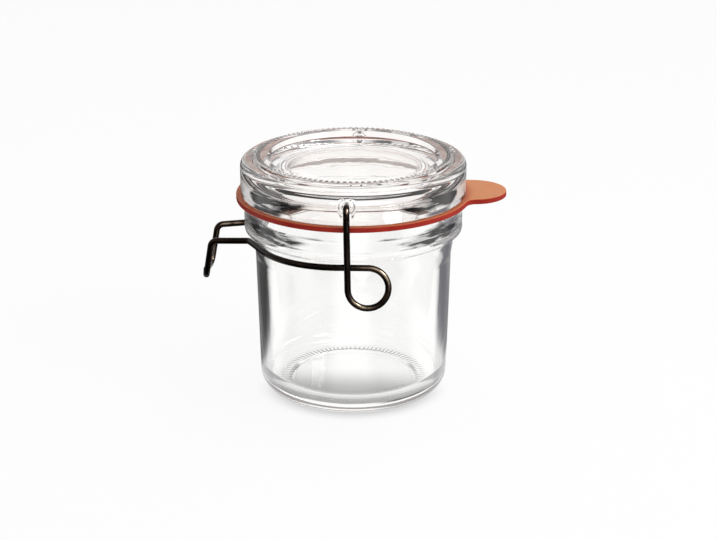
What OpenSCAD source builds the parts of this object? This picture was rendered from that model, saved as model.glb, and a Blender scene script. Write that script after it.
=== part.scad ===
// Glass jam pot with a glass lid, a rubber sealing ring with a pull tab, and
// one bent wire clip that hinges on the lid and hooks under the jar's collar.
// Origin at the centre of the jar's base, on the surface it stands on.
// +Z up, clip handle towards -Y, pull tab towards +Y, hinge axis along X.

/* [Jar] */
// Height of the jar to its sealing face
jar_h = 73; // [66:1:90]
// Outer diameter at the top of the body
body_top_d = 71.2; // [68:0.2:73]
// Step of the collar beyond the body
collar_step = 4; // [3:0.1:5]
// Step of the body's sweep where it meets the ledge
ledge_step = 1; // [0:0.1:2]
// Width of the sealing face
rim_w = 6; // [5.4:0.1:6.4]
// Height of the full-width part of the collar
collar_h = 10.8; // [8:0.1:12]
// Height of the ledge that the wire hooks under
ledge_h = 2.3; // [1.5:0.1:4]
// Height of the sweep from the body out to the ledge
shoulder_h = 9; // [6:0.1:12]
// Narrowing of the body's radius down to the heel
body_taper = 1.2; // [0:0.1:2.5]
// Height of the rounded heel
heel_h = 7.5; // [5:0.5:12]
// Step from the body in to the foot ring
foot_inset = 7.4; // [5:0.1:10]
// Width of the foot ring
foot_w = 2.6; // [1.5:0.1:4]
// Depth of the hollow under the base
punt_h = 1; // [0.5:0.1:2]
// Height of the straight mouth
mouth_h = 8; // [6:0.5:10]
// Glass thickness of the wall
wall = 3.5; // [2.5:0.1:4.5]
// Glass thickness of the floor
floor_t = 5; // [4:0.5:7]
// Inner radius between wall and floor
floor_r = 6; // [3:0.5:9]
// Width of the groove round the collar
groove_w = 1.6; // [1:0.1:2.4]
// Depth of the groove round the collar
groove_depth = 0.4; // [0.2:0.1:0.8]

/* [Lid] */
// Step of the lid beyond the collar
lid_step = 1.2; // [0.4:0.1:1.6]
// Height of the lid's side
lid_h = 12.6; // [11.5:0.1:16]
// Radius of the lid's upper edge
lid_edge_r = 2; // [0.6:0.1:2.2]
// Distance of the stacking ridge from the lid's side
ridge_inset = 5.5; // [4.5:0.1:7]
// Width of the stacking ridge
ridge_w = 4.3; // [3:0.1:6]
// Height of the ridge above the rim
ridge_h = 1.7; // [0.8:0.1:2.2]
// Depth of the dish below the rim
dish_h = 1.6; // [0.8:0.1:3]
// Width of the slope between the ridge and the dish's flat floor
dish_slope_w = 6.5; // [4:0.1:10]
// Depth of the spigot that reaches into the mouth
spigot_h = 3.2; // [2.5:0.1:5]
// Glass thickness of the spigot
spigot_t = 2.8; // [2:0.1:4]
// Clearance between spigot and mouth
spigot_gap = 0.8; // [0.5:0.1:1.2]
// Glass thickness between dish and hollow
crown_t = 5; // [3.5:0.1:6]
// Radius in the corner of the hollow
hollow_r = 2.7; // [1:0.1:4]

/* [Seal] */
// Thickness of the rubber ring
seal_t = 2; // [1.5:0.1:3]
// Step of the rubber ring beyond the lid
seal_step = 1.6; // [0.8:0.1:2]
// Clearance between rubber ring and spigot
seal_gap = 0.2; // [0.1:0.1:0.5]
// Radius of the pull tab
tab_r = 12; // [9:0.5:14]
// Reach of the pull tab beyond the ring
tab_reach = 13.1; // [10:0.1:16]
// Turn of the tab away from the side opposite the handle
tab_turn = 5.5; // [0:0.5:12]
// Radius where the tab flares into the ring
tab_flare_r = 4; // [2:0.5:6]

/* [Wire clip] */
// Diameter of the wire
wire_d = 2.3; // [2:0.1:2.4]
// Diameter of the wire's ends in the sockets
pin_d = 1.9; // [1.6:0.05:1.9]
// Radial clearance of the ends in the sockets
pin_gap = 0.07; // [0.03:0.01:0.1]
// Height of the sockets above the lid's lower face
socket_z = 7; // [6:0.1:8]
// Depth of the sockets
socket_depth = 3.4; // [2.5:0.1:4]
// Diameter of the glass boss round each socket
boss_d = 5.1; // [4.6:0.1:6]
// Height of the boss beyond the lid
boss_h = 0.5; // [0.3:0.1:0.8]
// Clearance between the wire's legs and the rubber ring
leg_gap = 0.3; // [0.2:0.1:0.6]
// Radius of the bend at the top of each leg
top_bend_r = 1.6; // [1.4:0.1:2]
// Radius of the spring loops
loop_r = 7; // [6:0.1:8]
// Depth of the loops' centres below the sockets
loop_drop = 29; // [27:0.1:31]
// Lean of the legs' lower ends away from the handle
leg_lean = 0.5; // [0:0.1:1]
// Clearance between the neck wire and the collar
neck_gap = 0.15; // [0.1:0.05:0.4]
// Fall of the neck wire from the loops to the handle
neck_fall = 1.1; // [0:0.1:2]

/* [Handle] */
// Distance between the two arms where they leave the neck
arm_base_w = 23; // [20:0.5:26]
// Distance between the two arms at their ends
arm_end_w = 18.6; // [16:0.2:20]
// Length of the handle's arms beyond the neck wire
arm_l = 10; // [7:0.1:13]
// Fall of the arms towards their ends
arm_fall = 0.8; // [0.2:0.1:3]
// Length of the grip below the arms
grip_h = 14.2; // [11:0.1:17]
// Distance between the grip's lower corners
grip_w = 16.4; // [14:0.2:18]
// Outward lean of the grip's corners
grip_lean = 2.4; // [1:0.1:4]
// Outward bow of the grip's lower bar
grip_bow = 0.95; // [0:0.05:1.5]
// Radius of the bends between neck and arms
arm_bend_r = 2; // [1.5:0.1:3]
// Radius of the bends at the arms' ends
end_bend_r = 2.6; // [1.5:0.1:3.5]
// Radius of the grip's lower corners
grip_bend_r = 3; // [1.5:0.1:4]

/* [Hidden] */
$fn = 96;
overrun = 0.5;

// Jar, derived sizes
body_top_r = body_top_d / 2;
body_low_r = body_top_r - body_taper;
collar_r = body_top_r + collar_step;
ledge_r = body_top_r + ledge_step;
foot_r = body_low_r - foot_inset;
foot_in_r = foot_r - foot_w;
mouth_r = collar_r - rim_w;
jar_edge_r = 0.7;
lip_r = 0.6;
punt_lead = 1.5;
collar_z = jar_h - collar_h;
ledge_z = collar_z - ledge_h;
shoulder_z = ledge_z - shoulder_h;
groove_share = 0.84;
groove_z = jar_h - collar_h * groove_share;
inner_top_r = body_top_r - wall;
inner_low_r = body_low_r - wall;

// Lid, derived sizes
lid_r = collar_r + lid_step;
lid_z = jar_h + seal_t;
rim_z = lid_z + lid_h;
lid_foot_r = 0.5;
ridge_r = lid_r - ridge_inset;
ridge_in_r = ridge_r - ridge_w;
ridge_z = rim_z + ridge_h;
ridge_edge_r = 0.45;
rim_groove_w = 1.2;
rim_groove_h = 0.5;
dish_z = rim_z - dish_h;
dish_r = ridge_in_r - dish_slope_w;
dish_wall_w = 1;
dish_wall_share = 0.6;
spigot_r = mouth_r - spigot_gap;
spigot_in_r = spigot_r - spigot_t;
spigot_z = lid_z - spigot_h;
spigot_edge_r = 0.5;
crown_z = dish_z - crown_t;

// Seal, derived sizes
seal_r = lid_r + seal_step;
seal_in_r = spigot_r + seal_gap;
tab_y = seal_r + tab_reach - tab_r;
tab_steps = 30;
flare_steps = 6;
ring_steps = 84;

// Clip, derived sizes
wire_r = wire_d / 2;
pin_r = pin_d / 2;
socket_r = pin_r + pin_gap;
hinge_z = lid_z + socket_z;
boss_r = boss_d / 2;
boss_edge_r = 0.3;
boss_x = lid_r + boss_h;
funnel_share = 0.7;
funnel_r = boss_r * funnel_share;
funnel_h = 0.8;
pin_end_gap = 0.3;
neck_r = collar_r + wire_r + neck_gap;
loop_gap = 0.4;
leg_x = max(seal_r + leg_gap, neck_r + wire_r + loop_gap) + wire_r;
stub_l = 0.3;
stub_x = leg_x - top_bend_r - stub_l;
pin_lap = 0.25;
loop_z = hinge_z - loop_drop;
neck_z = loop_z + loop_r;
neck_end_a = -acos(arm_base_w / 2 / neck_r);
neck_lead_a = 4;
neck_end_z = neck_z - neck_fall;
arm_z = neck_end_z - arm_fall;
handle_reach = neck_r + arm_l;
grip_y = -handle_reach - grip_lean;
grip_z = arm_z - grip_h;
wire_sides = 16;
bend_step_a = 15;
loop_turn_a = 270;
loop_step_a = 10;
neck_step_a = 8;

// Points of an arc about c, from angle a0 to a1, in n steps
function arc(c, r, a0, a1, n) =
    [for (i = [0 : n]) c + r * [cos(a0 + (a1 - a0) * i / n), sin(a0 + (a1 - a0) * i / n)]];

// Points of a quarter ellipse about c, from angle a0 to a1, in n steps
function oval(c, rx, ry, a0, a1, n) =
    [for (i = [0 : n]) c + [rx * cos(a0 + (a1 - a0) * i / n), ry * sin(a0 + (a1 - a0) * i / n)]];

// Points of an eased sweep from p to q, flat along Z at both ends, in n steps
function sweep_points(p, q, n) =
    [for (i = [0 : n]) [p[0] + (q[0] - p[0]) * (1 - cos(180 * i / n)) / 2, p[1] + (q[1] - p[1]) * i / n]];

// Jar section, from the base's centre round the outside to the inner floor
module jar_section() {
    polygon(concat(
        [[0, punt_h], [foot_in_r - punt_lead, punt_h], [foot_in_r, 0]],
        oval([foot_r, heel_h], body_low_r - foot_r, heel_h, -90, 0, 9),
        sweep_points([body_top_r, shoulder_z], [ledge_r, ledge_z], 6),
        sweep_points([ledge_r, ledge_z], [collar_r, collar_z], 8),
        [[collar_r, groove_z - groove_w / 2], [collar_r - groove_depth, groove_z],
         [collar_r, groove_z + groove_w / 2]],
        arc([collar_r - jar_edge_r, jar_h - jar_edge_r], jar_edge_r, 0, 90, 4),
        arc([mouth_r + lip_r, jar_h - lip_r], lip_r, 90, 180, 4),
        [[mouth_r, jar_h - mouth_h]],
        [[inner_top_r, shoulder_z]],
        arc([inner_low_r - floor_r, floor_t + floor_r], floor_r, 0, -90, 8),
        [[0, floor_t]]
    ));
}

module jar() {
    color("#e9eeee", 0.4)
    rotate_extrude() jar_section();
}

// Lid section: spigot, side, rim, groove, stacking ridge, dish and hollow
module lid_section() {
    polygon(concat(
        arc([spigot_r - spigot_edge_r, spigot_z + spigot_edge_r], spigot_edge_r, -90, 0, 4),
        [[spigot_r, lid_z]],
        arc([lid_r - lid_foot_r, lid_z + lid_foot_r], lid_foot_r, -90, 0, 4),
        arc([lid_r - lid_edge_r, rim_z - lid_edge_r], lid_edge_r, 0, 90, 6),
        [[ridge_r + rim_groove_w, rim_z], [ridge_r + rim_groove_w / 2, rim_z - rim_groove_h],
         [ridge_r, rim_z]],
        arc([ridge_r - ridge_edge_r, ridge_z - ridge_edge_r], ridge_edge_r, 0, 90, 3),
        arc([ridge_in_r + ridge_edge_r, ridge_z - ridge_edge_r], ridge_edge_r, 90, 180, 3),
        [[ridge_in_r - dish_wall_w, ridge_z - (ridge_z - dish_z) * dish_wall_share]],
        [[dish_r, dish_z], [0, dish_z], [0, crown_z]],
        arc([spigot_in_r - hollow_r, crown_z - hollow_r], hollow_r, 90, 0, 6),
        arc([spigot_in_r + spigot_edge_r, spigot_z + spigot_edge_r], spigot_edge_r, 180, 270, 4)
    ));
}

// Round glass boss with a funnel mouth, standing out along +X
module socket_boss() {
    rotate([0, 90, 0])
    rotate_extrude() polygon(concat(
        [[0, lid_r - socket_depth], [boss_r, lid_r - socket_depth]],
        arc([boss_r - boss_edge_r, boss_x - boss_edge_r], boss_edge_r, 0, 90, 3),
        [[funnel_r, boss_x], [socket_r, boss_x - funnel_h], [0, boss_x - funnel_h]]
    ));
}

module lid() {
    color("#eef1f0", 0.4)
    difference() {
        union() {
            rotate_extrude() lid_section();
            for (side = [0, 180]) rotate([0, 0, side]) translate([0, 0, hinge_z]) socket_boss();
        }
        for (side = [0, 180]) rotate([0, 0, side]) translate([lid_r - socket_depth, 0, hinge_z])
            rotate([0, 90, 0]) cylinder(r = socket_r, h = socket_depth + boss_h + overrun);
    }
}

// The points of a list without its two ends
function inner_points(list) = [for (i = [1 : len(list) - 2]) list[i]];

// Outline of the rubber ring with its flared pull tab, hole left out: the tab,
// a flare, the ring all the way round, and the other flare
module seal_outline() {
    // Centre of the flare arc that touches both the ring and the tab
    tab_reach_c = tab_flare_r + tab_r;
    ring_reach_c = seal_r + tab_flare_r;
    flare_y = (ring_reach_c * ring_reach_c - tab_reach_c * tab_reach_c + tab_y * tab_y) / (2 * tab_y);
    flare_x = sqrt(ring_reach_c * ring_reach_c - flare_y * flare_y);
    // Directions of the touching points, seen from the ring and from the tab
    ring_a = atan2(flare_y, flare_x);
    tab_a = atan2(flare_y - tab_y, flare_x);
    polygon(concat(
        arc([0, tab_y], tab_r, tab_a, 180 - tab_a, tab_steps),
        inner_points(arc([-flare_x, flare_y], tab_flare_r, -tab_a, -ring_a, flare_steps)),
        arc([0, 0], seal_r, 180 - ring_a, 360 + ring_a, ring_steps),
        inner_points(arc([flare_x, flare_y], tab_flare_r, 180 + ring_a, 180 + tab_a, flare_steps))
    ));
}

module seal_ring() {
    color("#d9562f")
    translate([0, 0, jar_h]) rotate([0, 0, tab_turn]) difference() {
        linear_extrude(seal_t) seal_outline();
        translate([0, 0, -overrun]) cylinder(r = seal_in_r, h = seal_t + 2 * overrun);
    }
}

function unit(v) = v / norm(v);

// Arc points that round the corner p between a and c with radius r
function corner(a, p, c, r) =
    let (u = unit(p - a), w = unit(c - p), turn = acos(u * w), reach = r * tan(turn / 2))
    let (mid = p + unit(w - u) * r / cos(turn / 2), n = ceil(turn / bend_step_a))
    let (from = p - u * reach - mid, to = p + w * reach - mid)
    [for (i = [0 : n]) mid + (from * sin(turn * (1 - i / n)) + to * sin(turn * i / n)) / sin(turn)];

// A bent line: its ends, with each corner between them rounded
function bent(points, radii) = concat(
    [points[0]],
    [for (i = [1 : len(points) - 2]) each corner(points[i - 1], points[i], points[i + 1], radii[i - 1])],
    [points[len(points) - 1]]
);

function ease(t) = t * t * (3 - 2 * t);

// Height of the neck wire at distance y from the hinge plane
function neck_height(y) = neck_z + neck_fall * y / (neck_r * sin(-neck_end_a));

// Wire of one side, from the socket to the middle of the grip
leg_points = bent(
    [[stub_x, 0, hinge_z], [leg_x, 0, hinge_z], [leg_x, leg_lean, loop_z]],
    [top_bend_r]
);
loop_points = [for (a = [loop_step_a : loop_step_a : loop_turn_a])
    [leg_x - (leg_x - neck_r) * ease(a / loop_turn_a), leg_lean + loop_r - loop_r * cos(a),
     loop_z - loop_r * sin(a)]];
neck_points = [for (a = [0 : -neck_step_a : neck_end_a + neck_lead_a])
    [neck_r * cos(a), neck_r * sin(a), neck_height(neck_r * sin(a))]];
neck_last = neck_points[len(neck_points) - 1];
handle_points = bent(
    [neck_last,
     [arm_base_w / 2, neck_r * sin(neck_end_a), neck_end_z],
     [arm_end_w / 2, -handle_reach, arm_z],
     [grip_w / 2, grip_y, grip_z],
     [0, grip_y - grip_bow, grip_z]],
    [arm_bend_r, end_bend_r, grip_bend_r]
);
half_wire = concat(
    leg_points, loop_points, neck_points,
    [for (i = [1 : len(handle_points) - 1]) handle_points[i]]
);
half_n = len(half_wire);
full_wire = concat(
    half_wire,
    [for (i = [half_n - 2 : -1 : 0]) [-half_wire[i][0], half_wire[i][1], half_wire[i][2]]]
);
full_n = len(full_wire);

// Direction of the wire at each point, and a normal carried along it
function along(i) = unit(
    unit(full_wire[min(i + 1, full_n - 1)] - full_wire[min(i, full_n - 2)]) +
    unit(full_wire[max(i, 1)] - full_wire[max(i - 1, 0)])
);
directions = [for (i = [0 : full_n - 1]) along(i)];
function carried(v, d) = unit(v - (v * d) * d);
normals = [for (i = 0, v = carried([0, 0, 1], directions[0]); i < full_n;
                i = i + 1, v = i < full_n ? carried(v, directions[i]) : v) v];

// Skin of a round wire that follows full_wire
module swept_wire() {
    points = [for (i = [0 : full_n - 1]) let (v = normals[i], w = cross(directions[i], v))
        for (k = [0 : wire_sides - 1])
            full_wire[i] + wire_r * (v * cos(360 * k / wire_sides) + w * sin(360 * k / wire_sides))];
    last = (full_n - 1) * wire_sides;
    faces = concat(
        [[for (k = [0 : wire_sides - 1]) wire_sides - 1 - k]],
        [[for (k = [0 : wire_sides - 1]) last + k]],
        [for (i = [0 : full_n - 2]) for (k = [0 : wire_sides - 1])
            let (a = i * wire_sides + k, b = i * wire_sides + (k + 1) % wire_sides)
            each [[a, b, b + wire_sides], [a, b + wire_sides, a + wire_sides]]]
    );
    polyhedron(points = points, faces = [for (f = faces) [for (k = [len(f) - 1 : -1 : 0]) f[k]]]);
}

module wire_clip() {
    pin_x = lid_r - socket_depth + pin_end_gap;
    color("#2a221c")
    union() {
        swept_wire();
        for (side = [0, 180]) rotate([0, 0, side]) translate([pin_x, 0, hinge_z])
            rotate([0, 90, 0]) cylinder(r = pin_r, h = stub_x + pin_lap - pin_x);
    }
}

jar();
lid();
seal_ring();
wire_clip();
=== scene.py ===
"""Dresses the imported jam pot: pressed glass pot and lid, rubber ring and bronzed wire clip."""

import math

import bpy
from bpy.props import FloatProperty, FloatVectorProperty, IntProperty, PointerProperty
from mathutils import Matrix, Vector


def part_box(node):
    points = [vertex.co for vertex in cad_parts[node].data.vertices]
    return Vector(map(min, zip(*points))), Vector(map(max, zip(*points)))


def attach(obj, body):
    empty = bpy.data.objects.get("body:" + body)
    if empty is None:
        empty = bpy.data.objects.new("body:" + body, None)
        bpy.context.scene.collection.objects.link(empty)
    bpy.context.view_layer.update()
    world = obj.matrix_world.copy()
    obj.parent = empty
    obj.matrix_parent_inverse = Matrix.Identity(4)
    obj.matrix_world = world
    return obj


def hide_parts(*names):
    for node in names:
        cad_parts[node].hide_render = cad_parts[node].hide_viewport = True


bl_info = {
    "name": "Jam Pot",
    "version": (1, 0, 0),
    "blender": (4, 5, 0),
    "location": "3D View > Sidebar > Jam Pot",
    "description": "Models and finishes a glass jam pot with a wire clip",
    "category": "Object",
}

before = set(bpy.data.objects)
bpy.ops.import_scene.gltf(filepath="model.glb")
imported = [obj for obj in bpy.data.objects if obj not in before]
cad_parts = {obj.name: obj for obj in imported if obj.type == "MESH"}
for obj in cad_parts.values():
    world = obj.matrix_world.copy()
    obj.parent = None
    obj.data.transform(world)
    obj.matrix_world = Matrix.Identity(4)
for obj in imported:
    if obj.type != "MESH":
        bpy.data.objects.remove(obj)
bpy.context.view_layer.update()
MM = 0.001
_, POT_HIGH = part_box("jar")
LID_LOW, LID_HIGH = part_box("lid")
RING_LOW, RING_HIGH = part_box("seal_ring")

# A Map Range node with this setting is a smooth step
EASED = {"interpolation_type": "SMOOTHSTEP"}


def linear(code):
    """An sRGB hex colour as linear red, green and blue."""
    values = [int(code[i : i + 2], 16) / 255 for i in (1, 3, 5)]
    return [v / 12.92 if v <= 0.04045 else ((v + 0.055) / 1.055) ** 2.4 for v in values]


WHITE = (*linear("#FFFFFF"), 1)


def length(name, description, default):
    """A length that a user can change, in metres."""
    return FloatProperty(
        name=name, description=description, default=default, min=0, precision=5, unit="LENGTH",
    )


def colour(name, description, code):
    """A colour that a user can change."""
    return FloatVectorProperty(
        name=name, description=description, default=linear(code), subtype="COLOR", size=3, min=0, max=1,
    )


class PotSizes(bpy.types.PropertyGroup):
    collar_radius: length("Collar radius", "Outer radius of the collar under the sealing face", 39.6 * MM)
    collar_height: length("Collar height", "Height of the collar above its ledge", 10.8 * MM)
    ledge_radius: length("Ledge radius", "Outer radius under the collar's ledge", 36.6 * MM)
    ledge_height: length("Ledge height", "Height of the ledge that the wire hooks under", 2.3 * MM)
    shoulder_height: length("Shoulder height", "Height of the sweep from body to ledge", 9 * MM)
    body_top_radius: length("Body radius, top", "Outer radius under the shoulder", 35.6 * MM)
    body_low_radius: length("Body radius, low", "Outer radius above the heel", 34.4 * MM)
    heel_height: length("Heel height", "Height of the rounded heel", 7.5 * MM)
    foot_radius: length("Foot radius", "Outer radius of the foot ring", 27 * MM)
    mouth_radius: length("Mouth radius", "Inner radius at the sealing face", 33.6 * MM)
    wall: length("Wall", "Glass thickness of the wall", 3.5 * MM)
    floor: length("Floor", "Glass thickness of the floor", 5 * MM)
    knurls: IntProperty(
        name="Knurls", description="Number of ribs round the foot", default=96, min=24, max=200,
    )
    glass: colour("Pot glass", "Tint of the pot's glass", "#FFFFFE")


class LidSizes(bpy.types.PropertyGroup):
    side_radius: length("Side radius", "Outer radius of the lid", 40.8 * MM)
    ridge_radius: length("Ridge radius", "Outer radius of the stacking ridge", 35.3 * MM)
    ridge_width: length("Ridge width", "Width of the stacking ridge", 4.3 * MM)
    dish_radius: length("Dish radius", "Radius of the flat floor of the dish", 24.5 * MM)
    spigot_radius: length("Spigot radius", "Outer radius of the spigot in the mouth", 32.8 * MM)
    hollow_radius: length("Hollow radius", "Inner radius of the hollow underneath", 30 * MM)
    boss_radius: length("Boss radius", "Radius of the glass boss round each socket", 2.55 * MM)
    socket_radius: length("Socket radius", "Radius of the socket that takes the wire's end", 1.02 * MM)
    bead_circle: length("Bead circle", "Radius of the circle on which the beads stand", 34.3 * MM)
    bead_size: length("Bead size", "Radius of one bead at its foot", 0.8 * MM)
    beads: IntProperty(
        name="Beads", description="Number of beads on the ridge", default=104, min=24, max=200,
    )
    # Painted reflection: the warm cast of this tint stands in for the rubber ring's colour reflected in the
    # lid
    glass: colour("Lid glass", "Tint of the lid's glass", "#FDFAF8")


class RingSizes(bpy.types.PropertyGroup):
    radius: length("Ring radius", "Outer radius of the rubber ring", 42.4 * MM)
    hole_radius: length("Hole radius", "Inner radius of the rubber ring", 33 * MM)
    tab_radius: length("Tab radius", "Radius of the pull tab", 12 * MM)
    tab_distance: length("Tab distance", "Distance from the ring's centre to the tab's centre", 43.5 * MM)
    flare_radius: length("Flare radius", "Radius where the tab flares into the ring", 4 * MM)
    edge: length("Moulded edge", "Radius of the ring's edges", 0.3 * MM)
    tab_turn: FloatProperty(
        name="Tab turn", description="Turn of the tab from the back", default=math.radians(5.5),
        subtype="ANGLE",
    )
    rubber: colour("Rubber", "Main colour of the rubber", "#981606")
    rubber_pale: colour("Rubber, pale", "Paler colour in the rubber's mottling", "#A6240A")
    # Painted light: the paler colour of the faces that look up, where the top light falls on them
    rubber_lit_top: colour("Rubber, bloom", "Colour of the bloom on the flat faces", "#C67C4C")
    # Painted shade: the darker, duller colour of the part under the lid, where the lid shades it
    rubber_shaded: colour("Rubber, pressed", "Colour of the part that the lid presses", "#9C6344")


class ClipSizes(bpy.types.PropertyGroup):
    wire: length("Wire radius", "Radius of the bent wire", 1.15 * MM)
    pin: length("Pin radius", "Radius of the ends in the sockets", 0.95 * MM)
    hinge_height: length("Hinge height", "Height of the sockets", 82 * MM)
    leg_x: length("Leg distance", "Distance of each leg from the middle", 43.85 * MM)
    loop_radius: length("Loop radius", "Radius of the spring loops", 7 * MM)
    loop_drop: length("Loop drop", "Depth of the loops below the sockets", 29 * MM)
    leg_lean: length("Leg lean", "Lean of the legs' lower ends away from the handle", 0.5 * MM)
    neck_radius: length("Neck radius", "Radius of the neck wire's curve", 33.5 * MM)
    neck_x: length("Neck distance", "Distance of the neck wire from the middle, beside the legs", 41 * MM)
    reach: length("Handle reach", "Distance from the pot's axis to the arms' ends", 50.9 * MM)
    bronze: colour("Bronze", "Colour of the bronzed wire", "#15100D")
    bronze_worn: colour("Bronze, rubbed", "Colour where the bronzing is rubbed", "#2C2018")
    # Painted highlight: the bright steel along the side towards the right lamp
    steel: colour("Steel", "Colour where the bronzing is rubbed through", "#C8B49C")


class StageLook(bpy.types.PropertyGroup):
    paper: colour("Paper", "Colour of the floor and the background", "#FEFEFE")
    # Also the colour of the shadow painted on the paper under the pot's base
    room: colour("Room, left", "Colour of the dark room on the left, in the glass", "#0C0A10")
    room_right: colour("Room, right", "Colour of the room on the right, in the glass", "#6A6870")


def node(tree, kind, inputs=(), **settings):
    """A shader node with its settings. Its inputs, by name or in order, are values, nodes whose first
    output is meant, or (node, output)."""
    made = tree.nodes.new("ShaderNode" + kind)
    for name, value in settings.items():
        setattr(made, name, value)
    for socket, source in inputs.items() if isinstance(inputs, dict) else enumerate(inputs):
        output = 0
        if isinstance(source, tuple) and isinstance(source[0], bpy.types.Node):
            source, output = source
        if isinstance(source, bpy.types.Node):
            tree.links.new(source.outputs[output], made.inputs[socket])
        else:
            made.inputs[socket].default_value = source
    return made


def new_material(name):
    """An empty node material and its tree."""
    finish = bpy.data.materials.new(name)
    finish.use_nodes = True
    finish.node_tree.nodes.clear()
    return finish, finish.node_tree


def stops(ramp, *pairs):
    """Sets a colour ramp's two stops from (position, colour) pairs."""
    for element, (position, shade) in zip(ramp.color_ramp.elements, pairs):
        element.position = position
        element.color = (*shade, 1)


def off_axis(tree, axes):
    """The square of the distance from the pot's axis, and the distance."""
    squares = [node(tree, "Math", [(axes, name), (axes, name)], operation="MULTIPLY") for name in "XY"]
    square = node(tree, "Math", squares, operation="ADD")
    return square, node(tree, "Math", [square], operation="SQRT")


def pressed_glass(name, tint, wave, glow, height, reach):
    """Pressed soda-lime glass: clear and glossy, its surface a little wavy from the mould, with painted
    shade:
    its edges grey where the eye looks along the wall, and dark streaks round one height of its outer wall,
    both standing in for the dark room seen in glass. Light kept in it too long is painted as a soft grey
    glow."""
    finish, tree = new_material(name)
    place = node(tree, "TexCoord")
    # Mould waves about 9 mm across, drawn out downwards as the plunger leaves them
    drawn = node(tree, "Mapping", {"Vector": (place, "Object"), "Scale": (1, 1, 0.35)})
    waves = node(tree, "TexNoise", {"Vector": drawn, "Scale": 110, "Detail": 1.5, "Roughness": 0.4})
    bump = node(tree, "Bump", {"Height": waves, "Strength": wave, "Distance": 0.4 * MM})

    # The outer wall: faces that look away from the axis, 30 mm or more from it
    level = node(tree, "Mapping", {"Vector": (place, "Object"), "Scale": (1, 1, 0)})
    outward = node(tree, "VectorMath", [level, (place, "Normal")], operation="DOT_PRODUCT")
    wall = node(tree, "MapRange", [(outward, "Value"), 26 * MM, 30 * MM], **EASED)

    # Painted shade: grey at its edges, where the eye looks along it, standing in for the dark surroundings
    # that glass shows there
    painted_edge_shade = 0.6
    facing = (node(tree, "LayerWeight", {"Blend": 0.5}), "Facing")
    along = node(tree, "MapRange", [facing, 0.52, 0.6], **EASED)
    along = node(tree, "Math", [along, wall], operation="MULTIPLY")
    grey = node(tree, "MixRGB", [along, (*tint, 1), (*[v * painted_edge_shade for v in tint], 1)])

    # Painted shade: dark streaks at the sides of the thick rim, standing in for the room's dark corners that
    # the rim bends into view. They wander with the mould waves. Their share of the tint is so small because
    # each surface that the light passes shows its square root
    wander, painted_streak = 5 * MM, 0.003
    axes = node(tree, "SeparateXYZ", [(place, "Object")])
    wavy = node(tree, "Math", [waves, wander, (axes, "Z")], operation="MULTIPLY_ADD")
    above = node(tree, "Math", [wavy, height + wander / 2], operation="SUBTRACT")
    off = node(tree, "Math", [above], operation="ABSOLUTE")
    rising = node(tree, "MapRange", [facing, 0.06, 0.42], **EASED)
    falling = node(tree, "MapRange", [facing, 0.5, 0.66, 1, 0], **EASED)
    side = node(tree, "Math", [rising, falling], operation="MULTIPLY")
    half = node(tree, "Math", [side, reach], operation="MULTIPLY")
    within = node(tree, "Math", [half, off], operation="SUBTRACT")
    dark = node(tree, "MapRange", [within, -1.4 * MM, 0.3 * MM], **EASED)
    tapered = node(tree, "MapRange", [side, 0.01, 0.2], **EASED)
    # Finer lines in them, 1 to 2 mm high and many times as long
    stretched = node(tree, "Mapping", {"Vector": (place, "Object"), "Scale": (1, 1, 8)})
    lines = node(tree, "TexNoise", {"Vector": stretched, "Scale": 80, "Detail": 2})
    lined = node(tree, "MapRange", [lines, 0.38, 0.5, 0.6, 1], **EASED)
    for share in (tapered, wall, lined):
        dark = node(tree, "Math", [dark, share], operation="MULTIPLY")
    grey = node(tree, "MixRGB", [dark, grey, (*[v * painted_streak for v in tint], 1)])

    # Painted glow: light that turns round in the glass for too long to be followed is given out as a soft
    # grey emission
    ray = node(tree, "LightPath")
    lost = node(tree, "Math", [(ray, "Glossy Depth"), 3.5], operation="GREATER_THAN")
    painted_glow = node(tree, "Math", [lost, glow], operation="MULTIPLY")
    glass = node(tree, "BsdfPrincipled", {
        "Base Color": grey,
        "Emission Color": WHITE,
        "Emission Strength": painted_glow,
        "Roughness": 0.0,
        "IOR": 1.52,
        "Transmission Weight": 1.0,
        "Normal": bump,
    })
    node(tree, "OutputMaterial", {"Surface": glass})
    return finish


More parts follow.
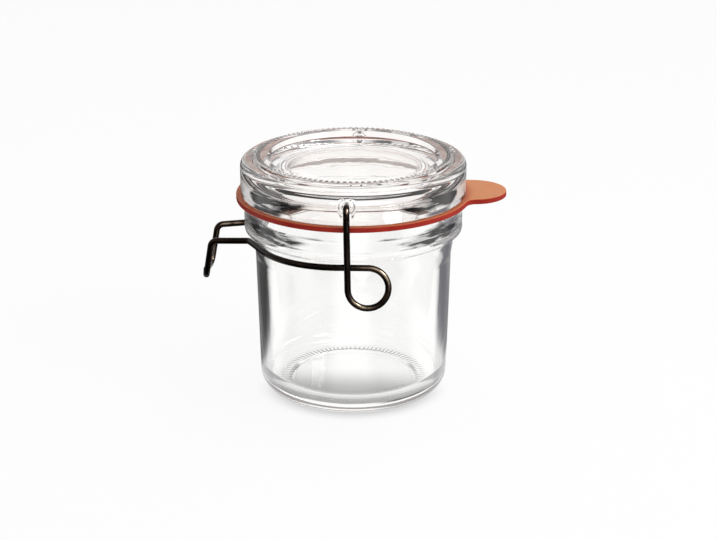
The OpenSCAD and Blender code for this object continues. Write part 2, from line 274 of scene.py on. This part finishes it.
def moulded_rubber(name, look, cover):
    """Natural rubber, moulded: matt with a soft shine, a little light let in, faintly mottled and grained,
    with painted light on the faces that look up. A lid of radius cover lies on it, and the part under it has
    painted shade."""
    finish, tree = new_material(name)
    place = node(tree, "TexCoord")
    # Mottling in patches about 8 mm across
    patches = node(tree, "TexNoise", {"Vector": (place, "Object"), "Scale": 125, "Detail": 3})
    mottled = node(tree, "ValToRGB", [patches])
    stops(mottled, (0.3, look.rubber), (0.75, look.rubber_pale))

    # Painted light: faces that look up are paler, where the top light falls on them, less so within 3 mm of
    # the lid
    axes = node(tree, "SeparateXYZ", [(place, "Object")])
    _, radius = off_axis(tree, axes)
    facing = node(tree, "SeparateXYZ", [(place, "Normal")])
    flat = node(tree, "MapRange", [(facing, "Z"), 0.4, 0.95], **EASED)
    outside = node(tree, "MapRange", [radius, cover, cover + 3 * MM, 0.45, 1], **EASED)
    top_light = node(tree, "Math", [flat, outside], operation="MULTIPLY")
    with_top_light = node(tree, "MixRGB", [top_light, mottled, (*look.rubber_lit_top, 1)])
    # Painted shade: under the lid it is darker and duller, where the lid shades it
    under = node(tree, "MapRange", [radius, cover - 0.4 * MM, cover, 1, 0], **EASED)
    shaded_under_lid = node(tree, "MixRGB", [under, with_top_light, (*look.rubber_shaded, 1)])

    # Grain of the mould, 0.3 mm in truth and drawn at 0.5 mm so that it shows
    grain = node(tree, "TexNoise", {"Vector": (place, "Object"), "Scale": 2000, "Detail": 2})
    bump = node(tree, "Bump", {"Height": grain, "Strength": 0.25, "Distance": 0.05 * MM})
    shine = node(tree, "MapRange", {"Value": patches, "To Min": 0.42, "To Max": 0.58})
    rubber = node(tree, "BsdfPrincipled", {
        "Base Color": shaded_under_lid,
        "Roughness": shine,
        "IOR": 1.52,
        "Specular IOR Level": 0.25,
        "Subsurface Weight": 0.25,
        "Subsurface Radius": (2.0, 0.5, 0.2),
        "Subsurface Scale": 1 * MM,
        "Normal": bump,
    })
    node(tree, "OutputMaterial", {"Surface": rubber})
    return finish


def bronzed_wire(name, look):
    """Drawn steel wire, bronzed: a dark brown metal with a soft gloss, warmer where it is rubbed, with fine
    drawing marks, a painted highlight of bright steel along one side, and a painted white glow on legs and
    loops deep in the glass."""
    finish, tree = new_material(name)
    place = node(tree, "TexCoord")
    # Rubbed places 6 mm long
    rubbed = node(tree, "TexNoise", {
        "Vector": (place, "Object"), "Scale": 160, "Detail": 4, "Roughness": 0.6,
    })
    brown = node(tree, "ValToRGB", [rubbed])
    stops(brown, (0.45, look.bronze), (0.8, look.bronze_worn))

    # Painted highlight: bright steel on the side that faces forward, right and up, where the right lamp's
    # highlight falls, broken up by the rubbed places
    outer = node(tree, "VectorMath", [(place, "Normal"), (0.85, 0.35, 0.4)], operation="DOT_PRODUCT")
    strip = node(tree, "MapRange", [(outer, "Value"), 0.9, 1.0], **EASED)
    patchy = node(tree, "MapRange", [rubbed, 0.4, 0.6, 0.15, 0.8], **EASED)
    painted_highlight = node(tree, "Math", [strip, patchy], operation="MULTIPLY")
    shade = node(tree, "MixRGB", [painted_highlight, brown, (*look.steel, 1)])

    # Drawing marks and pickling, 0.15 mm in truth and drawn at 0.4 mm
    marks = node(tree, "TexNoise", {"Vector": (place, "Object"), "Scale": 2500, "Detail": 2})
    bump = node(tree, "Bump", {"Height": marks, "Strength": 0.2, "Distance": 0.03 * MM})
    shine = node(tree, "MapRange", {"Value": rubbed, "To Min": 0.22, "To Max": 0.12})

    # Painted light: legs and loops glow white where they are seen through both walls of glass, as the lid
    # and the small fillets would break them up into bars and specks there
    ray = node(tree, "LightPath")
    axes = node(tree, "SeparateXYZ", [(place, "Object")])
    legs = node(tree, "Math", [(axes, "Y"), -4 * MM], operation="GREATER_THAN")
    deep = node(tree, "Math", [(ray, "Ray Depth"), 3.5], operation="GREATER_THAN")
    behind = node(tree, "Math", [deep, legs], operation="MULTIPLY")
    wire = node(tree, "BsdfPrincipled", {
        "Base Color": shade,
        "Emission Color": WHITE,
        "Emission Strength": behind,
        "Metallic": 1.0,
        "Roughness": shine,
        "Normal": bump,
    })
    node(tree, "OutputMaterial", {"Surface": wire})
    return finish


def through_glass(tree, ray, look, outdoors):
    """What glass and gloss show of the world, outdoors, or of the paper: white straight through the glass,
    and dark towards the room's four corners where the light was turned back, more so on the left. Indoors a
    shadow is painted on the paper under the base."""
    place = node(tree, "TexCoord")
    axes = node(tree, "SeparateXYZ", [(place, "Generated" if outdoors else "Object")])
    square, radius = off_axis(tree, axes)
    # 0 on the left and 1 on the right
    bearing = node(tree, "Math", [(axes, "Y"), radius], operation="DIVIDE")
    across = node(tree, "MapRange", [bearing, -0.8, 0.8], **EASED)
    # 0 along both axes and 1 towards the corners, which are narrower on the right
    product = node(tree, "Math", [(axes, "X"), (axes, "Y")], operation="MULTIPLY")
    slant = node(tree, "Math", [product, square], operation="DIVIDE")
    slant = node(tree, "Math", [slant], operation="ABSOLUTE")
    slant = node(tree, "Math", [across, -0.1, slant], operation="MULTIPLY_ADD")
    corner = node(tree, "MapRange", [slant, 0.15, 0.36], **EASED)

    paper = (*look.paper, 1)
    if outdoors:
        # The world is dark only low down
        far = node(tree, "MapRange", [(axes, "Z"), 0.35, 0.6, 1, 0], **EASED)
    else:
        # The paper is dark from the pot's foot outwards, and starts 12 mm farther out on the right
        off = node(tree, "Math", [across, -12 * MM, radius], operation="MULTIPLY_ADD")
        far = node(tree, "MapRange", [off, 34 * MM, 50 * MM], **EASED)
        # Painted shadow: the paper is darker under the near half of the raised base, where little light
        # reaches it
        ahead = node(tree, "MapRange", [(axes, "X"), -8 * MM, 14 * MM], **EASED)
        under = node(tree, "MapRange", [radius, 20 * MM, 37 * MM, 0.72, 0], **EASED)
        painted_shadow = node(tree, "Math", [ahead, under], operation="MULTIPLY")
        paper = node(tree, "MixRGB", [painted_shadow, paper, (*look.room, 1)])

    # Straight through the wall is an even number of surfaces, turned back once is an odd one
    dark = node(tree, "Math", [(ray, "Ray Depth"), 2], operation="MODULO")
    for share in (corner, far):
        dark = node(tree, "Math", [dark, share], operation="MULTIPLY")
    room = node(tree, "MixRGB", [across, (*look.room, 1), (*look.room_right, 1)])
    return node(tree, "MixRGB", [dark, paper, room])


def object_mode():
    """Object mode with nothing selected."""
    if bpy.context.mode != "OBJECT":
        bpy.ops.object.mode_set(mode="OBJECT")
    bpy.ops.object.select_all(action="DESELECT")


def edit(piece):
    """Edit mode on one piece with all of it selected."""
    object_mode()
    piece.select_set(True)
    bpy.context.view_layer.objects.active = piece
    bpy.ops.object.mode_set(mode="EDIT")
    bpy.ops.mesh.select_mode(type="VERT")
    bpy.ops.mesh.select_all(action="SELECT")


def pick(piece, wanted):
    """Edit mode with only the vertices selected whose place is wanted."""
    edit(piece)
    bpy.ops.mesh.select_all(action="DESELECT")
    bpy.ops.object.mode_set(mode="OBJECT")
    for vertex in piece.data.vertices:
        vertex.select = wanted(vertex.co)
    bpy.ops.object.mode_set(mode="EDIT")


def arc(centre, radii, start, end, steps):
    """Points of a circle or ellipse in the section plane, angles in degrees."""
    (x, z), (across, up) = centre, radii
    turns = [math.radians(start + (end - start) * i / steps) for i in range(steps + 1)]
    return [Vector((x + across * math.cos(t), 0, z + up * math.sin(t))) for t in turns]


def bend(before, corner, after, radius, step):
    """Points that round one corner of a line, at most step degrees apart."""
    inward, outward = (corner - before).normalized(), (after - corner).normalized()
    turn = inward.angle(outward)
    count = max(2, math.ceil(math.degrees(turn) / step))
    middle = corner + (outward - inward).normalized() * radius / math.cos(turn / 2)
    start = corner - inward * radius * math.tan(turn / 2) - middle
    end = corner + outward * radius * math.tan(turn / 2) - middle
    points = []
    for i in range(count + 1):
        share = i / count
        spread = start * math.sin(turn * (1 - share)) + end * math.sin(turn * share)
        points.append(middle + spread / math.sin(turn))
    return points


def rounded(corners, step=12):
    """A line through corners, given as (place, radius), with each one rounded."""
    places = [Vector(place) for place, radius in corners]
    points = [places[0]]
    for i in range(1, len(places) - 1):
        radius = corners[i][1]
        points += bend(places[i - 1], places[i], places[i + 1], radius, step) if radius else [places[i]]
    return points + [places[-1]]


def section(corners, step=12):
    """A rounded section line from (radius, height, corner radius), in millimetres."""
    return rounded([((r * MM, 0, z * MM), c * MM) for r, z, c in corners], step)


def eased_line(start, end, steps):
    """Points of a sweep between two places (radius, height), upright at both ends."""
    points = []
    for i in range(steps + 1):
        share = i / steps
        radius = start[0] + (end[0] - start[0]) * (1 - math.cos(math.pi * share)) / 2
        points.append(Vector((radius, 0, start[1] + (end[1] - start[1]) * share)))
    return points


def drawn_line(name, points):
    """One vertex at the first point, extruded on from point to point."""
    object_mode()
    bpy.ops.mesh.primitive_plane_add(size=MM, location=points[0])
    piece = bpy.context.active_object
    piece.name = piece.data.name = name
    bpy.ops.object.transform_apply(location=True)
    bpy.ops.object.mode_set(mode="EDIT")
    bpy.ops.mesh.select_all(action="SELECT")
    bpy.ops.mesh.merge(type="CENTER")
    for before, after in zip(points, points[1:]):
        bpy.ops.mesh.extrude_region_move(TRANSFORM_OT_translate={"value": after - before})
    return piece


def spin(steps, angle, copies=False):
    """Spins what is selected round the pot's axis."""
    bpy.ops.mesh.spin(steps=steps, angle=angle, center=(0, 0, 0), axis=(0, 0, 1), dupli=copies)


def closed(piece, smooth=32):
    """Merges a piece's doubles, turns its faces outwards and smooths it up to an angle."""
    edit(piece)
    bpy.ops.mesh.remove_doubles(threshold=0.001 * MM)
    bpy.ops.mesh.normals_make_consistent(inside=False)
    bpy.ops.object.mode_set(mode="OBJECT")
    bpy.ops.object.shade_smooth_by_angle(angle=math.radians(smooth))
    return piece


def turned(name, line, copies, columns, raised):
    """A glass piece of revolution: one narrow sector is spun from its section line, raised() shapes it, and
    it is copied all the way round."""
    piece = drawn_line(name, line)
    bpy.ops.mesh.select_all(action="SELECT")
    pitch = math.tau / copies
    spin(columns, pitch)
    bpy.ops.object.mode_set(mode="OBJECT")
    raised(piece, sum((v.co for v in piece.data.vertices), Vector()).xy.normalized())
    edit(piece)
    spin(copies - 1, math.tau - pitch, copies=True)
    return closed(piece)


def cut(piece, tool, operation):
    """Joins a tool to a piece or cuts it out of the piece, and takes the tool away."""
    object_mode()
    piece.select_set(True)
    bpy.context.view_layer.objects.active = piece
    joint = piece.modifiers.new("cut", "BOOLEAN")
    joint.object, joint.operation, joint.solver = tool, operation, "MANIFOLD"
    bpy.ops.object.modifier_apply(modifier="cut")
    bpy.data.objects.remove(tool)


def finished(piece, finish, body, node_name):
    """Gives a finished piece its material and its body, and hides the CAD node it stands for."""
    object_mode()
    if not piece.data.polygons:
        raise RuntimeError(f"{piece.name} has no faces")
    # Joining or cutting leaves an empty material slot
    piece.data.materials.clear()
    piece.data.materials.append(finish)
    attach(piece, body)
    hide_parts(node_name)


class MakePot(bpy.types.Operator):
    """Turns the glass pot, with a knurled foot, in the place of its CAD node"""

    bl_idname = "jam_pot.make_pot"
    bl_label = "Make Pot"

    def execute(self, context):
        size = context.scene.jam_pot_pot
        foot, heel, floor, mouth = size.foot_radius, size.heel_height, size.floor, size.mouth_radius
        low, top, ledge, collar = (
            size.body_low_radius, size.body_top_radius, size.ledge_radius, size.collar_radius,
        )
        rim = POT_HIGH.z
        under = rim - size.collar_height
        hook = under - size.ledge_height
        waist = hook - size.shoulder_height
        groove = rim - size.collar_height * 0.84
        # Millimetres: the base stands 1 high inside the foot ring, whose ribs reach down to the table
        base, rib = 1, 0.14

        line = section([
            (0, base, 0), (8, base, 0), (16, base, 0), (21.5, base, 3),
            (24.3, rib, 0.3), (25.1, rib, 0), (25.9, rib, 0),
        ])
        line.append(Vector((foot, 0, rib * MM)))
        line += arc((foot, heel), (low - foot, heel), -78, 0, 14)
        for share in (0.2, 0.4, 0.6, 0.8):
            line.append(Vector((low + (top - low) * share, 0, heel + (waist - heel) * share)))
        line += eased_line((top, waist), (ledge, hook), 12)
        line += eased_line((ledge, hook), (collar - 0.15 * MM, under), 10)[1:]
        # The collar with its groove, the sealing face, the mouth and the inside
        line += rounded([
            ((collar - 0.15 * MM, 0, under + 0.1 * MM), 0),
            ((collar, 0, groove - 0.8 * MM), 0.5 * MM),
            ((collar - 0.45 * MM, 0, groove), 0.5 * MM),
            ((collar - 0.05 * MM, 0, groove + 0.9 * MM), 0.6 * MM),
            ((collar, 0, groove + 3.4 * MM), 4 * MM),
            ((collar - 0.25 * MM, 0, groove + 4.6 * MM), 0.8 * MM),
            ((collar, 0, groove + 5.6 * MM), 1 * MM),
            ((collar, 0, rim), 0.7 * MM),
            ((mouth, 0, rim), 0.6 * MM),
            ((mouth, 0, rim - 8 * MM), 8 * MM),
            ((top - size.wall, 0, waist), 14 * MM),
            ((low - size.wall, 0, floor), 6 * MM),
            ((20 * MM, 0, floor), 0),
            ((9 * MM, 0, floor), 0),
            ((0, 0, floor), 0),
        ], 8)

        def knurl(piece, middle):
            """One rib across the foot ring: the middle column of the sector stands lower."""
            near = math.pi / size.knurls / 4

            def on_rib(co):
                on_ring = 24.2 * MM < co.xy.length < foot + 0.01 * MM and co.z < 0.3 * MM
                return on_ring and (co.xy / co.xy.length - middle).length < near

            pick(piece, on_rib)
            bpy.ops.transform.translate(value=(0, 0, -rib * MM))

        pot = turned("pot_glass", line, size.knurls, 4, knurl)
        glass = pressed_glass(
            "Pressed glass, pot", size.glass, wave=0.12, glow=0.2, height=67.3 * MM, reach=2.2 * MM,
        )
        finished(pot, glass, "jar", "jar")
        return {"FINISHED"}


class MakeLid(bpy.types.Operator):
    """Turns the glass lid with its beaded ridge, and adds the two socket bosses"""

    bl_idname = "jam_pot.make_lid"
    bl_label = "Make Lid"

    def execute(self, context):
        size = context.scene.jam_pot_lid
        # All in millimetres
        side, ridge = size.side_radius / MM, size.ridge_radius / MM
        spigot, hollow, dish = size.spigot_radius / MM, size.hollow_radius / MM, size.dish_radius / MM
        inner, circle = ridge - size.ridge_width / MM, size.bead_circle / MM
        low, foot, top = LID_LOW.z / MM, RING_HIGH.z / MM, LID_HIGH.z / MM
        bead_height, ridge_height, dish_depth, crown_depth = 0.45, 1.7, 1.6, 6.6
        flat, rim = top - bead_height, top - ridge_height
        floor, crown = rim - dish_depth, rim - crown_depth

        # From the hollow's middle down the inside of the spigot, round the side, over the ridge and the rows
        # from which the beads rise, and down into the dish
        line = section([
            (0, crown, 0), (10, crown, 0), (20, crown, 0), (hollow - 3, crown, 6),
            (hollow, low, 0.5), (spigot, low, 0.5), (spigot, foot, 0.2),
            (side, foot, 0.5), (side, rim, 2.4),
            (ridge + 1.4, rim, 0.3), (ridge + 0.6, rim - 0.5, 0.4), (ridge, rim, 0.2), (ridge, flat, 0.3),
            *[(circle + 0.2 * k, flat, 0) for k in (3, 2, 1, 0, -1, -2, -3, -4)],
            (inner + 0.9, flat, 0), (inner, flat, 0.5), (inner - 1, rim - 0.6, 0.9),
            (dish, floor, 1.5), (15, floor, 0), (7, floor, 0), (0, floor, 0),
        ], 10)

        def bead(piece, middle):
            """One bead: the vertex on the bead circle is lifted with the ones round it."""
            centre = Vector((*(middle * size.bead_circle), flat * MM))
            places = (v.co for v in piece.data.vertices)
            nearest = min(places, key=lambda co: (co - centre).length).copy()
            pick(piece, lambda co: (co - nearest).length < 0.01 * MM)
            bpy.ops.transform.translate(
                value=(0, 0, bead_height * MM), use_proportional_edit=True,
                proportional_edit_falloff="SPHERE", proportional_size=size.bead_size,
            )

        lid = turned("lid_glass", line, size.beads, 6, bead)

        # The two bosses are joined to the lid, and their sockets, 3.4 mm deep, are cut out of both
        hinge = context.scene.jam_pot_clip.hinge_height
        boss, bore, tip = size.boss_radius / MM, size.socket_radius / MM, LID_HIGH.x / MM
        root, seat = side - 3.4, side - 3.3
        outline = section([
            (0, root, 0), (boss + 1, root, 0), (boss + 1, side - 0.3, 0),
            (boss + 0.2, side, 0.6), (boss, tip, 0.35), (boss * 0.66, tip, 0.3),
            (bore, tip - 0.8, 0.3), (bore, seat, 0), (0, seat, 0),
        ], 15)
        cutter = section([(0, root, 0), (bore, root, 0), (bore, tip + 0.5, 0), (0, tip + 0.5, 0)], 15)
        for name, points, operation in (("boss", outline, "UNION"), ("bore", cutter, "DIFFERENCE")):
            tool = drawn_line(name, points)
            bpy.ops.mesh.select_all(action="SELECT")
            spin(48, math.tau)
            closed(tool)
            # Laid along the hinge axis, lifted to its height and doubled on the other side
            edit(tool)
            bpy.ops.transform.rotate(value=-math.pi / 2, orient_axis="Y", center_override=(0, 0, 0))
            bpy.ops.object.mode_set(mode="OBJECT")
            if max(v.co.x for v in tool.data.vertices) < 0:
                raise RuntimeError("the boss lies on the wrong side")
            edit(tool)
            bpy.ops.transform.translate(value=(0, 0, hinge))
            bpy.ops.mesh.duplicate()
            bpy.ops.transform.rotate(value=math.pi, orient_axis="Z", center_override=(0, 0, 0))
            closed(tool)
            cut(lid, tool, operation)
        closed(lid)
        glass = pressed_glass(
            "Pressed glass, lid", size.glass, wave=0.1, glow=0.03, height=80.2 * MM, reach=2.9 * MM,
        )
        finished(lid, glass, "lid", "lid")
        return {"FINISHED"}


class MakeRing(bpy.types.Operator):
    """Moulds the rubber ring with its pull tab"""

    bl_idname = "jam_pot.make_ring"
    bl_label = "Make Ring"

    def execute(self, context):
        size = context.scene.jam_pot_ring
        tab, far, flare, ring = size.tab_radius, size.tab_distance, size.flare_radius, size.radius
        # The flare's centre, where its circle touches both the tab's and the ring's
        to_tab, to_ring = flare + tab, flare + ring
        y = (to_ring**2 - to_tab**2 + far**2) / (2 * far)
        x = math.sqrt(to_ring**2 - y**2)
        ring_angle, tab_angle = math.degrees(math.atan2(y, x)), math.degrees(math.atan2(y - far, x))
        outline = arc((0, far), (tab, tab), tab_angle, 180 - tab_angle, 48)
        outline += arc((-x, y), (flare, flare), -tab_angle, -ring_angle, 12)[1:-1]
        outline += arc((0, 0), (ring, ring), 180 - ring_angle, 360 + ring_angle, 192)
        outline += arc((x, y), (flare, flare), 180 + ring_angle, 180 + tab_angle, 12)[1:-1]

        # A hair clear of both glasses: faces that share a plane show as a black band in glass
        low, high = RING_LOW.z + 0.03 * MM, RING_HIGH.z - 0.05 * MM
        seal = drawn_line("seal_rubber", [Vector((p.x, p.z, low)) for p in outline])
        bpy.ops.mesh.select_all(action="SELECT")
        bpy.ops.mesh.edge_face_add()
        bpy.ops.mesh.extrude_region_move(TRANSFORM_OT_translate={"value": (0, 0, high - low)})
        bpy.ops.mesh.select_all(action="SELECT")
        bpy.ops.transform.rotate(value=-size.tab_turn, orient_axis="Z", center_override=(0, 0, 0))
        closed(seal, 35)
        if max(seal.data.vertices, key=lambda v: v.co.y).co.x > 0:
            raise RuntimeError("the tab is turned the wrong way")

        object_mode()
        bpy.ops.mesh.primitive_cylinder_add(
            vertices=216, radius=size.hole_radius, depth=8 * MM, location=(0, 0, low),
        )
        cut(seal, context.active_object, "DIFFERENCE")
        edge = seal.modifiers.new("edge", "BEVEL")
        edge.width, edge.segments = size.edge, 4
        edge.limit_method, edge.angle_limit = "ANGLE", math.radians(60)
        bpy.ops.object.modifier_apply(modifier="edge")
        bpy.ops.object.shade_smooth_by_angle(angle=math.radians(40))
        rubber = moulded_rubber("Moulded rubber", size, context.scene.jam_pot_lid.side_radius)
        finished(seal, rubber, "lid", "seal_ring")
        return {"FINISHED"}


class MakeClip(bpy.types.Operator):
    """Bends the wire clip and gives it its round section"""

    bl_idname = "jam_pot.make_clip"
    bl_label = "Make Clip"

    def execute(self, context):
        size = context.scene.jam_pot_clip
        hinge, leg, loop, neck = size.hinge_height, size.leg_x, size.loop_radius, size.neck_radius
        lean, near = size.leg_lean, size.neck_x
        centre = hinge - size.loop_drop
        # One half of the clip, from the end in the socket, which stops 0.3 mm short of the bottom
        pin_end, stub = 37.7 * MM, leg - 1.9 * MM
        half = [Vector((pin_end, 0, hinge)), Vector((stub - 0.25 * MM, 0, hinge))]
        half += rounded([
            ((stub, 0, hinge), 0), ((leg, 0, hinge), 1.6 * MM), ((leg, lean, centre), 0),
        ], 10)

        # The spring loop: three quarters of a turn, while the wire passes in from the leg to the neck
        steps = 45
        for step in range(1, steps + 1):
            share = step / steps
            turn = math.radians(270 * share)
            x = leg - (leg - near) * share**2 * (3 - 2 * share)
            half.append(Vector((x, lean + loop - loop * math.cos(turn), centre - loop * math.sin(turn))))

        # The neck: a curve round the front of the pot, then straight on to where the arm leaves it. It
        # falls a little on the way
        arm_x, arm_y, fall, level = 11 * MM, -37.1 * MM, 1.1 * MM, centre + loop
        curve_end, steps = math.radians(62), 20
        for step in range(steps + 1):
            turn = curve_end * step / steps
            y = -1 * MM - neck * math.sin(turn)
            half.append(Vector((near - neck + neck * math.cos(turn), y, level - fall * y / arm_y)))

        # The arm, and the handle's U with its slightly bowed lower bar
        arm_z = level - fall - 0.8 * MM
        grip_y, grip_z = -size.reach - 2.4 * MM, arm_z - 14.2 * MM
        half += rounded([
            (half[-1], 0),
            ((arm_x, arm_y, level - fall), 2 * MM),
            ((9.3 * MM, -size.reach, arm_z), 2.6 * MM),
            ((8.2 * MM, grip_y, grip_z), 3 * MM),
            ((0, grip_y - 0.95 * MM, grip_z), 0),
        ], 8)[1:]

        clip = drawn_line("clip_wire", half + [Vector((-p.x, p.y, p.z)) for p in reversed(half[:-1])])
        object_mode()
        clip.select_set(True)
        context.view_layer.objects.active = clip
        bpy.ops.object.convert(target="CURVE")
        curve = context.active_object.data
        curve.bevel_depth, curve.bevel_resolution, curve.use_fill_caps = size.wire, 6, True
        for point in curve.splines[0].points:
            in_socket = abs(point.co.x) < stub - 0.1 * MM and point.co.z > hinge - 0.1 * MM
            point.radius = size.pin / size.wire if in_socket else 1
        bpy.ops.object.convert(target="MESH")
        clip = closed(context.active_object, 50)
        finished(clip, bronzed_wire("Bronzed steel wire", size), "clip", "wire_clip")
        return {"FINISHED"}


class MakeStage(bpy.types.Operator):
    """Lays the white paper, sets the lamps and the world, and places the camera"""

    bl_idname = "jam_pot.make_stage"
    bl_label = "Make Stage"

    def execute(self, context):
        look = context.scene.jam_pot_stage
        scene = context.scene
        scene.view_settings.view_transform = "Standard"

        # The paper: a flat disc, a hair under the pot
        object_mode()
        bpy.ops.mesh.primitive_circle_add(
            vertices=96, radius=3, fill_type="NGON", location=(0, 0, -0.05 * MM),
        )
        paper = context.active_object
        paper.name = "paper"
        bpy.ops.object.transform_apply(location=True)
        bpy.ops.object.mode_set(mode="EDIT")
        bpy.ops.mesh.inset(thickness=0.2)
        bpy.ops.object.mode_set(mode="OBJECT")
        finish, tree = new_material("Matt white paper")
        # The eye, gloss and glass see the paper's own white, with a small share of the shadow
        own_white = 0.93
        matt = node(tree, "BsdfDiffuse", {"Color": (*look.paper, 1)})
        ray = node(tree, "LightPath")
        strength = node(tree, "Math", [(ray, "Is Transmission Ray"), 0.05, 1.0], operation="MULTIPLY_ADD")
        plain = node(tree, "Emission", {
            "Color": through_glass(tree, ray, look, False), "Strength": strength,
        })
        seen = node(tree, "Math", [(ray, "Is Camera Ray"), (ray, "Is Glossy Ray")], operation="MAXIMUM")
        seen = node(tree, "Math", [seen, (ray, "Is Transmission Ray")], operation="MAXIMUM")
        share = node(tree, "Math", [seen, own_white], operation="MULTIPLY")
        mix = node(tree, "MixShader", [share, matt, plain])
        node(tree, "OutputMaterial", {"Surface": mix})
        paper.data.materials.append(finish)

        # The room: white for the eye, with dark corners for gloss and glass, and for all else a plain light
        # that is weaker from the left and from low down
        world = bpy.data.worlds.new("Studio room")
        scene.world = world
        world.use_nodes = True
        tree = world.node_tree
        tree.nodes.clear()
        ray = node(tree, "LightPath")
        inside = node(tree, "Math", [
            (ray, "Is Glossy Ray"), (ray, "Is Transmission Ray"),
        ], operation="MAXIMUM")
        axes = node(tree, "SeparateXYZ", [(node(tree, "TexCoord"), "Generated")])
        sideways = node(tree, "MapRange", [(axes, "Y"), -1, 1, 0.12, 1.0], **EASED)
        upwards = node(tree, "MapRange", [(axes, "Z"), 0, 1, 0.6, 1.2], **EASED)
        plain = node(tree, "Math", [sideways, upwards], operation="MULTIPLY")
        light = node(tree, "Background", {"Color": WHITE, "Strength": plain})
        room = node(tree, "Background", {"Color": through_glass(tree, ray, look, True), "Strength": 1.0})
        white = node(tree, "Background", {"Color": (*look.paper, 1), "Strength": 1.0})
        mix = node(tree, "MixShader", [inside, light, room])
        mix = node(tree, "MixShader", [(ray, "Is Camera Ray"), mix, white])
        node(tree, "OutputWorld", {"Surface": mix})

        # Two softboxes and a top light, aimed at the pot: name, place, width and power
        aim = Vector((0, 0, 0.05))
        for name, place, width, power in (
            ("lamp_right", (0.35, 0.6, 0.55), 0.3, 2.2),
            ("lamp_left", (0.5, -0.6, 0.35), 0.3, 0.15),
            ("lamp_top", (-0.1, 0.1, 0.8), 0.5, 1.8),
        ):
            bpy.ops.object.light_add(type="AREA", location=place)
            lamp = context.active_object
            lamp.name = name
            lamp.data.size, lamp.data.energy = width, power
            lamp.rotation_euler = (aim - Vector(place)).to_track_quat("-Z", "Y").to_euler()

        # The camera, as fitted to the photograph: a short telephoto that looks down on the pot
        distance, height = 676.7 * MM, 287.2 * MM
        bearing, yaw, pitch = math.radians(3.3), math.radians(-0.14), math.radians(19.73)
        place = (distance * math.cos(bearing), distance * math.sin(bearing), height)
        bpy.ops.object.camera_add(location=place)
        camera = context.active_object
        heading, level = bearing + math.pi + yaw, math.cos(pitch)
        ahead = Vector((level * math.cos(heading), level * math.sin(heading), -math.sin(pitch)))
        camera.rotation_euler = ahead.to_track_quat("-Z", "Y").to_euler()
        camera.data.sensor_width, camera.data.lens = 36, 98.45
        scene.camera = camera
        return {"FINISHED"}


class JamPotPanel(bpy.types.Panel):
    """Lists the pot's sizes, colours and operators"""

    bl_idname = "JAM_POT_PT_main"
    bl_label = "Jam Pot"
    bl_space_type = "VIEW_3D"
    bl_region_type = "UI"
    bl_category = "Jam Pot"

    def draw(self, context):
        for group, operator in GROUPS:
            box = self.layout.box()
            settings = getattr(context.scene, group)
            for name in settings.__annotations__:
                box.prop(settings, name)
            box.operator(operator)


GROUPS = (
    ("jam_pot_pot", MakePot.bl_idname),
    ("jam_pot_lid", MakeLid.bl_idname),
    ("jam_pot_ring", MakeRing.bl_idname),
    ("jam_pot_clip", MakeClip.bl_idname),
    ("jam_pot_stage", MakeStage.bl_idname),
)
SETTINGS = (PotSizes, LidSizes, RingSizes, ClipSizes, StageLook)
CLASSES = (*SETTINGS, MakePot, MakeLid, MakeRing, MakeClip, MakeStage, JamPotPanel)


def register():
    for made in CLASSES:
        bpy.utils.register_class(made)
    for (group, _), settings in zip(GROUPS, SETTINGS):
        setattr(bpy.types.Scene, group, PointerProperty(type=settings))


def unregister():
    for group, _ in GROUPS:
        delattr(bpy.types.Scene, group)
    for made in reversed(CLASSES):
        bpy.utils.unregister_class(made)


def main():
    register()
    bpy.ops.jam_pot.make_pot()
    bpy.ops.jam_pot.make_lid()
    bpy.ops.jam_pot.make_ring()
    bpy.ops.jam_pot.make_clip()
    bpy.ops.jam_pot.make_stage()


if __name__ == "__main__":
    main()
